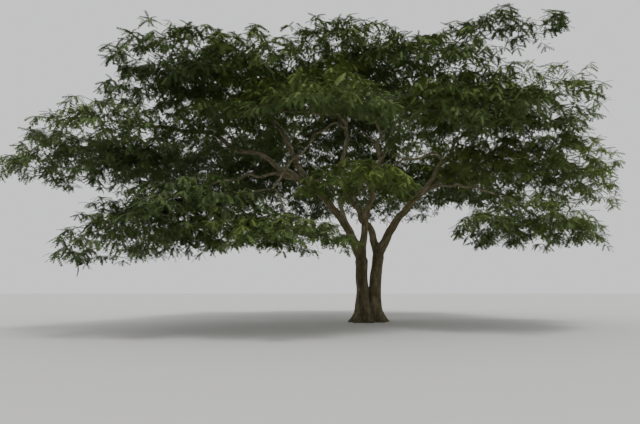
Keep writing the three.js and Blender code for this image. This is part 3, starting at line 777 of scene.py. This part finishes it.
# One feathery leaf, a unit long: pairs of pointed leaflets and one at the end, whose reach follows
# sin(pi (0.2 + 0.62 x))^0.7 and which lean forwards and sag, all bent down by b x^2
def leafTemplate(bend):
    pairs, bare, last = leafShape["pairs"], leafShape["bare"], leafShape["end"]
    x = np.linspace(bare, last, pairs)
    half = leafShape["overlap"] * (last - bare) / (pairs - 1) / 2
    swell = np.sin(np.pi * (leafShape["swellFrom"] + leafShape["swellBy"] * x)) ** leafShape["swellPower"]
    reach = leafShape["reach"] * swell
    lean = math.radians(leafShape["lean"])
    zero = 0 * x
    back = np.stack([x - half, zero, zero], -1)
    front = np.stack([x + half, zero, zero], -1)
    rightTip = np.stack([x + reach * math.cos(lean), -reach * math.sin(lean), -leafShape["sag"] * reach], -1)
    leftTip = rightTip * [1, -1, 1]
    endWidth, endLength = leafShape["endWidth"] * half, leafShape["endLength"] * half
    endLeaflet = [[last, -endWidth, 0], [last + endLength, 0, 0], [last, endWidth, 0]]
    leaflets = np.concatenate([np.stack([back, front, leftTip], 1), np.stack([back, rightTip, front], 1)])
    corners = np.concatenate([leaflets.reshape(-1, 3), endLeaflet])
    corners[:, 2] -= bend * corners[:, 0] ** 2
    return corners


# Axes of the leaves at each twig's end, turned to both sides by turns, lifted or drooping, and rolled
def leafFrames(alongs, seed):
    random = np.random.default_rng(seed)
    count = (len(alongs), len(leafRule["turns"]))
    mirror = np.where(np.arange(count[0]) % 2, 1.0, -1.0)[:, None]
    turn = np.radians(mirror * leafRule["turns"] + leafRule["turnSpread"] * (random.random(count) - 0.5))
    pitch = leafRule["lift"] - (leafRule["lift"] + leafRule["droop"]) * random.random(count)
    pitch = np.radians(pitch)[..., None]
    heading = np.arctan2(alongs[:, 1], alongs[:, 0])[:, None] + turn
    level = np.stack([np.cos(heading), np.sin(heading), 0 * heading], -1)
    direction = level * np.cos(pitch) + up * np.sin(pitch)
    beside = unit(np.cross(up, direction))
    above = np.cross(direction, beside)
    roll = np.radians(leafRule["roll"] * (random.random(count) - 0.5))[..., None]
    across = beside * np.cos(roll) + above * np.sin(roll)
    normal = above * np.cos(roll) - beside * np.sin(roll)
    size = leafRule["shortest"] + (leafRule["longest"] - leafRule["shortest"]) * random.random(count)
    size *= leafRule["youngest"] + (1 - leafRule["youngest"]) * np.arange(count[1]) / (count[1] - 1)
    return direction, across, normal, size, random.random(count) < leafRule["kept"]


# All leaves on the twigs from starts to ends: a template carried by each leaf's axes, and a tint for each
# leaf. Those that would stand out of the solids' box are left out.
def leafSurface(starts, ends, heights, templates, seed):
    direction, across, normal, size, kept = leafFrames(unit(ends - starts), seed)
    base = starts[:, None] + (ends - starts)[:, None] * np.array(leafRule["shares"])[None, :, None]
    tips = base + direction * size[..., None]
    lowest, highest = (np.array(corner) for corner in cadBox)
    inside = ((tips > lowest - leafRule["proud"]) & (tips < highest + leafRule["proud"])).all(-1) & kept
    patches = leafLight["patches"] * smoothNoise(ends * leafLight["patchScale"], leafLight["patchSeed"])
    spots = leafLight["spots"] * smoothNoise(ends * leafLight["spotScale"], leafLight["spotSeed"])
    # Painted light: leaves high in their layer get lighter greens, low ones darker greens in painted shade
    light = leafLight["byHeight"] * heights + patches + spots
    tint = np.round(leafLight["middle"] + leafLight["spread"] * light)
    tint = np.clip(tint, 0, len(leafTints) - 1).astype(int)
    tint = np.broadcast_to(tint[:, None], inside.shape)[inside]
    base, direction, across, normal, size = (a[inside] for a in (base, direction, across, normal, size))
    corners, tints = [], []
    for first, template in enumerate(templates):
        mine = slice(first, None, len(templates))
        axes = np.stack([direction[mine], across[mine], normal[mine]], 1) * size[mine, None, None]
        corners.append((np.einsum("vk,lkx->lvx", template, axes) + base[mine][:, None]).reshape(-1, 3))
        tints.append(tint[mine])
    return np.concatenate(corners), np.concatenate(tints)


# Pods

podRule = {"share": 0.5, "most": 2, "first": 3, "apart": 5, "towardsMiddle": 0.2, "scatter": 0.3,
           "scatterScale": 3.0, "length": 0.55, "lengthSpread": 0.15, "sizeTurn": 7.0, "width": 0.052,
           "thickness": 0.016, "curve": 0.14, "lean": 0.2, "stalk": 0.06, "rings": 11, "sides": 8,
           "seeds": 7, "seedSwell": 0.12, "blunt": 0.4, "ends": 0.02, "point": 0.02}


# Tips that a mass's pods hang from: low ones near its middle
def podPlaces(pad, ends, heights):
    fromMiddle = np.linalg.norm(ends - pad["middle"], axis=1)
    scatter = podRule["scatter"] * smoothNoise(ends * podRule["scatterScale"], pad["seed"])
    low = np.argsort(heights + podRule["towardsMiddle"] * fromMiddle + scatter)
    return [ends[low[podRule["first"] + podRule["apart"] * k]]
            for k in range(podRule["most"]) if pad["random"]() < podRule["share"]]


# A hanging pod: an ellipse carried down a shallow arc, whose width follows (sin pi x)^0.4, with low swellings
# over its seeds
def podSurface(hangs, headings, sizes):
    rings, sides = podRule["rings"], podRule["sides"]
    x = np.linspace(podRule["ends"], 1 - podRule["ends"], rings)
    swell = 1 + podRule["seedSwell"] * np.cos(2 * np.pi * podRule["seeds"] * x)
    width = (np.sin(np.pi * x) ** podRule["blunt"] * swell)[None, :, None, None]
    angle = np.linspace(0, 2 * np.pi, sides, endpoint=False)[:, None]
    along = np.stack([np.cos(headings), np.sin(headings), 0 * headings], -1)
    beside = np.stack([-np.sin(headings), np.cos(headings), 0 * headings], -1)
    down = x[None, :, None] * sizes[:, None, None]
    bow = (podRule["curve"] * np.sin(np.pi * x) + podRule["lean"] * x)[None, :, None] * sizes[:, None, None]
    centres = hangs[:, None] - up * (down + podRule["stalk"]) + along[:, None] * bow
    wide = np.cos(angle) * podRule["width"] / 2 * along[:, None, None]
    thick = np.sin(angle) * podRule["thickness"] / 2 * beside[:, None, None]
    corners = centres[:, :, None] + width * (wide + thick)
    joins = np.tile(np.arange(rings) < rings - 1, len(hangs))
    quads, triangles, firsts, lasts = ringFaces(joins, sides)
    middles = centres.reshape(-1, 3)
    poles = np.concatenate([middles[firsts] + up * podRule["stalk"], middles[lasts] - up * podRule["point"]])
    return np.concatenate([corners.reshape(-1, 3), poles]), quads[:, ::-1], triangles[:, ::-1]


# Materials

barkLooks = {
    "trunk_bark_finish": {"dark": (0.052, 0.041, 0.021), "mid": (0.138, 0.114, 0.062),
                          "pale": (0.262, 0.226, 0.138), "moss": (0.095, 0.103, 0.044),
                          "grain": 9.0, "stretch": 0.22, "bump": 0.5},
    "bough_bark_finish": {"dark": (0.061, 0.051, 0.029), "mid": (0.154, 0.134, 0.082),
                          "pale": (0.286, 0.259, 0.174), "moss": (0.108, 0.114, 0.054),
                          "grain": 12.0, "stretch": 0.3, "bump": 0.4},
    "twig_bark_finish": {"dark": (0.068, 0.058, 0.035), "mid": (0.138, 0.121, 0.075),
                         "pale": (0.230, 0.208, 0.140), "moss": (0.112, 0.120, 0.060),
                         "grain": 16.0, "stretch": 0.5, "bump": 0.25},
}
barkFinish = {"stops": (0.3, 0.5, 0.72), "detail": 9, "grainRoughness": 0.66, "bumpDepth": 0.02,
              "specular": 0.2, "darkRoughness": 0.95, "paleRoughness": 0.72,
              "patchScale": 2.3, "patchDetail": 4, "patchFrom": 0.5, "patchTo": 0.68, "patchMost": 0.6}
podLook = {"dark": (0.022, 0.014, 0.009), "pale": (0.085, 0.054, 0.032), "stops": (0.35, 0.7), "grain": 30.0,
           "detail": 6, "bump": 0.3, "bumpDepth": 0.004, "roughness": 0.5}


def newFinish(name):
    material = bpy.data.materials.new(name)
    material.use_nodes = True
    return material, material.node_tree, material.node_tree.nodes["Principled BSDF"]


def attributeOf(tree, name, output):
    attribute = tree.nodes.new("ShaderNodeAttribute")
    attribute.attribute_name = name
    return attribute.outputs[output]


def noiseOf(tree, place, scale, detail, roughness=0.5):
    noise = tree.nodes.new("ShaderNodeTexNoise")
    noise.inputs["Scale"].default_value = scale
    noise.inputs["Detail"].default_value = detail
    noise.inputs["Roughness"].default_value = roughness
    tree.links.new(place, noise.inputs["Vector"])
    return noise.outputs["Fac"]


def rampOf(tree, value, stops, colours):
    ramp = tree.nodes.new("ShaderNodeValToRGB")
    elements = ramp.color_ramp.elements
    elements[0].position = stops[0]
    elements[1].position = stops[-1]
    for stop in stops[1:-1]:
        elements.new(stop)
    for element, colour in zip(elements, colours):
        element.color = (*colour, 1)
    tree.links.new(value, ramp.inputs["Fac"])
    return ramp.outputs["Color"]


def rangeOf(tree, value, start, end, first, last):  # a value from start to end becomes one from first to last
    mapped = tree.nodes.new("ShaderNodeMapRange")
    mapped.inputs["From Min"].default_value = start
    mapped.inputs["From Max"].default_value = end
    mapped.inputs["To Min"].default_value = first
    mapped.inputs["To Max"].default_value = last
    tree.links.new(value, mapped.inputs["Value"])
    return mapped.outputs["Result"]


def addBump(tree, shader, height, strength, depth):
    bump = tree.nodes.new("ShaderNodeBump")
    bump.inputs["Strength"].default_value = strength
    bump.inputs["Distance"].default_value = depth
    tree.links.new(height, bump.inputs["Height"])
    tree.links.new(bump.outputs["Normal"], shader.inputs["Normal"])


def leafMaterial(name, colour):
    material, _, shader = newFinish(name)
    shader.inputs["Base Color"].default_value = (*colour, 1)
    shader.inputs["Roughness"].default_value = leafFinish["roughness"]
    shader.inputs["Specular IOR Level"].default_value = leafFinish["specular"]
    return material


def podMaterial():
    material, tree, shader = newFinish("pod_finish")
    shader.inputs["Roughness"].default_value = podLook["roughness"]
    place = tree.nodes.new("ShaderNodeTexCoord").outputs["Object"]
    grain = noiseOf(tree, place, podLook["grain"], podLook["detail"])
    colour = rampOf(tree, grain, podLook["stops"], (podLook["dark"], podLook["pale"]))
    tree.links.new(colour, shader.inputs["Base Color"])
    addBump(tree, shader, grain, podLook["bump"], podLook["bumpDepth"])
    return material


# Bark with a long grain and mossy patches. Where it is laid out, its pattern follows the limb and its colour
# is scaled
# by barkShade: painted shade in grooves and fork creases, besides its own paler and darker tones.
def barkMaterial(name, look, laidOut):
    material, tree, shader = newFinish(name)
    shader.inputs["Specular IOR Level"].default_value = barkFinish["specular"]
    if laidOut:
        place = attributeOf(tree, "barkPlace", "Vector")
    else:
        place = tree.nodes.new("ShaderNodeTexCoord").outputs["Object"]
    stretched = tree.nodes.new("ShaderNodeMapping")
    stretched.inputs["Scale"].default_value = (1, 1, look["stretch"])
    tree.links.new(place, stretched.inputs["Vector"])
    grain = noiseOf(tree, stretched.outputs["Vector"], look["grain"], barkFinish["detail"],
                    barkFinish["grainRoughness"])
    clean = rampOf(tree, grain, barkFinish["stops"], (look["dark"], look["mid"], look["pale"]))
    patches = noiseOf(tree, place, barkFinish["patchScale"], barkFinish["patchDetail"])
    amount = rangeOf(tree, patches, barkFinish["patchFrom"], barkFinish["patchTo"],
                     0, barkFinish["patchMost"])
    mossy = tree.nodes.new("ShaderNodeMix")
    mossy.data_type = "RGBA"
    tree.links.new(amount, mossy.inputs["Factor"])
    tree.links.new(clean, mossy.inputs[6])  # inputs 6 and 7 are the two colours, and output 2 is their mix
    mossy.inputs[7].default_value = (*look["moss"], 1)
    shown = mossy.outputs[2]
    # The colour scaled by barkShade, which holds painted shade in the grooves and creases
    if laidOut:
        shaded = tree.nodes.new("ShaderNodeVectorMath")
        shaded.operation = "SCALE"
        tree.links.new(shown, shaded.inputs[0])
        tree.links.new(attributeOf(tree, "barkShade", "Fac"), shaded.inputs["Scale"])
        shown = shaded.outputs["Vector"]
    tree.links.new(shown, shader.inputs["Base Color"])
    roughness = rangeOf(tree, grain, 0, 1, barkFinish["darkRoughness"], barkFinish["paleRoughness"])
    tree.links.new(roughness, shader.inputs["Roughness"])
    addBump(tree, shader, grain, look["bump"], barkFinish["bumpDepth"])
    return material


# Making: limbs

limbs = growLimbs()
finishes = {name: barkMaterial(name, look, laidOut=name != "twig_bark_finish")
            for name, look in barkLooks.items()}
stems = [name for name, spec in limbPlan.items() if spec["butt"] > barkRelief["stemFrom"]]
boughs = [name for name in limbPlan if name not in stems]
stemSkin = stemSurface(stems, limbs, barkRelief["stem"])
boughSkins = joinedSurfaces([boughSurface(limbs[name], limbs, barkRelief["bough"]) for name in boughs])
for piece, names, skin, slot in (("trunk_and_stems", stems, stemSkin, "trunk_bark"),
                                 ("boughs", boughs, boughSkins, "bough_bark")):
    corners, quads, triangles, laidOut, shade = skin
    made = meshPiece(piece, corners, quads, triangles, [finishes[f"{slot}_finish"]],
                     attributes={"barkPlace": laidOut, "barkShade": shade})
    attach(made, "root")
    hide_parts(*names)
    print(piece, len(names), "limbs", 2 * len(quads) + len(triangles), "triangles")

# Making: twigs and leaves

# Regions of the crown, each with a piece of twigs and a piece of leaves
crownRegions = {
    "left": ["far_left", "low_left"],
    "front_left": ["upper_left", "front", "front_low"],
    "top": ["top", "front_high", "high_right"],
    "right": ["right", "right_low"],
    "front_right": ["right_high", "front_middle"],
    "rear_left": ["rear_left", "west"],
    "rear_right": ["rear_right", "rear"],
}
limbLine = np.concatenate([limb["line"]["places"] for limb in limbs.values()])
limbRoom = np.concatenate([limb["line"]["radii"] for limb in limbs.values()]) + twigRule["limbRoom"]


def keepsClear(points):
    away = np.linalg.norm(points[:, None] - limbLine[None], axis=2) - limbRoom
    return away.min(axis=1) > 0


# Heights of tips in a pad's layer, about 0 at its lower side and 1 at its upper side, and more where the
# layer's green is painted lighter; they set the leaves' painted light and shade
def layerHeights(pad, ends):
    layer, fromMiddle = pad["layer"], ends - pad["middle"]
    dome = pad["middle"][2] - padRule["droop"] / pad["radius"] * (fromMiddle[:, :2] ** 2).sum(1)
    climb = layer["climb"] * np.maximum(-(fromMiddle @ pad["outward"]), 0)
    return (ends[:, 2] - dome - layer["rise"] - climb) / layer["thickness"] + 0.5 + layer["tone"]


# One mass of foliage: its twigs as smooth runs, the start, end and height of each leafy twig, and its pods'
# places
def growMass(bough, i):
    pad = growPad(bough, i, limbs)
    nodes = branchOut(pad, keepsClear)
    radii, heir = thicken(nodes, limbPlan[bough]["tip"] * stalkRule["tipShare"])
    places = np.array([node["place"] for node in nodes])
    runs = []
    for run in runsOf(nodes, heir):
        runRadii = radii[[run[1], *run[1:]]]
        runRadii[-1] *= twigShape["pointed"]
        runs.append(smoothRun(places[run], runRadii, twigShape["parts"] if len(run) > 2 else 1))
    tips = [k for k, node in enumerate(nodes) if node["leafy"]]
    starts, ends = places[[nodes[k]["parent"] for k in tips]], places[tips]
    heights = layerHeights(pad, ends)
    return {"name": pad["name"], "runs": runs, "starts": starts, "ends": ends, "heights": heights,
            "pods": podPlaces(pad, ends, heights)}


tintMaterials = [leafMaterial(name, colour) for name, colour in leafTints.items()]
templates = [leafTemplate(bend) for bend in leafShape["bends"]]
podHangs, podMasses = [], []
for number, (region, bearers) in enumerate(crownRegions.items()):
    grown = [growMass(bough, i) for bough in bearers for i in range(padPlan[bough]["count"])]
    masses = [mass["name"] for mass in grown]
    for mass in grown:
        podHangs.extend(mass["pods"])
        podMasses.extend([mass["name"]] * len(mass["pods"]))
    runs = [run for mass in grown for run in mass["runs"]]
    thick = [run for run in runs if run[1][0] > twigShape["thickFrom"]]
    thin = [run for run in runs if run[1][0] <= twigShape["thickFrom"]]
    corners, quads, triangles = joinedSurfaces([twigSurface(thick, **twigShape["thick"]),
                                                twigSurface(thin, **twigShape["thin"])])
    twigs = meshPiece(f"twigs_{region}", corners, quads, triangles, [finishes["twig_bark_finish"]])
    starts, ends, heights = (np.concatenate([mass[part] for mass in grown])
                             for part in ("starts", "ends", "heights"))
    corners, tints = leafSurface(starts, ends, heights, templates, leafRule["firstSeed"] + number)
    leaves = meshPiece(f"leaves_{region}", corners, np.empty((0, 4), int),
                       np.arange(len(corners)).reshape(-1, 3), tintMaterials, smooth=False,
                       tints=np.repeat(tints, len(templates[0]) // 3))
    for piece, slot in ((twigs, "bough_bark"), (leaves, "foliage")):
        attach(piece, "root")
        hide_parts(*masses)
    print(region, len(masses), "masses", len(tints), "leaves", len(leaves.data.polygons), "leaf triangles",
          2 * len(quads) + len(triangles), "twig triangles")

# Making: pods

podCount = len(podHangs)
podTurns = goldenAngle * np.arange(podCount)
podSizes = podRule["length"] + podRule["lengthSpread"] * np.sin(podRule["sizeTurn"] * np.arange(podCount))
pods = meshPiece("seed_pods", *podSurface(np.array(podHangs), podTurns, podSizes), [podMaterial()])
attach(pods, "root")
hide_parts(*dict.fromkeys(podMasses))
print("pods", podCount)

# Stage: pale floor, soft light and the camera

stageLook = {"floor": (0.52, 0.515, 0.49), "floorSize": 600.0, "floorRoughness": 0.9,
             "sky": (0.89, 0.895, 0.9), "skyStrength": 1.05,
             "key": 1.7, "keySoftness": 20.0, "keyTurn": (27.0, 0.0, 24.0),
             "fill": 0.5, "fillSoftness": 60.0, "fillTurn": (62.0, 0.0, -40.0)}

bpy.ops.mesh.primitive_plane_add(size=stageLook["floorSize"], location=(0, 0, 0))
floor = bpy.context.object
floor.name = "floor"
floorFinish, _, floorShader = newFinish("floor_finish")
floorShader.inputs["Base Color"].default_value = (*stageLook["floor"], 1)
floorShader.inputs["Roughness"].default_value = stageLook["floorRoughness"]
floor.data.materials.append(floorFinish)

world = bpy.data.worlds.new("soft_sky")
bpy.context.scene.world = world
world.use_nodes = True
sky = world.node_tree.nodes["Background"]
sky.inputs["Color"].default_value = (*stageLook["sky"], 1)
sky.inputs["Strength"].default_value = stageLook["skyStrength"]


def softSun(name, strength, softness, turn):
    light = bpy.data.lights.new(name, "SUN")
    light.energy = strength
    light.angle = math.radians(softness)
    holder = bpy.data.objects.new(name, light)
    holder.rotation_euler = [math.radians(a) for a in turn]
    bpy.context.scene.collection.objects.link(holder)


softSun("key_light", stageLook["key"], stageLook["keySoftness"], stageLook["keyTurn"])
softSun("fill_light", stageLook["fill"], stageLook["fillSoftness"], stageLook["fillTurn"])

# Camera at eye height, 25 m from the trunk and a little to its left, tilted up
cameraView = {"place": (-2.1, -25.0, 1.5), "tilt": 9.0, "lens": 28.125, "sensor": 36.0, "far": 2000.0}

camera = bpy.data.cameras.new("camera")
camera.lens = cameraView["lens"]
camera.sensor_width = cameraView["sensor"]
camera.clip_end = cameraView["far"]
cameraHolder = bpy.data.objects.new("camera", camera)
cameraHolder.location = cameraView["place"]
cameraHolder.rotation_euler = (math.radians(90 + cameraView["tilt"]), 0, 0)
bpy.context.scene.collection.objects.link(cameraHolder)
bpy.context.scene.camera = cameraHolder
print("stage ready")
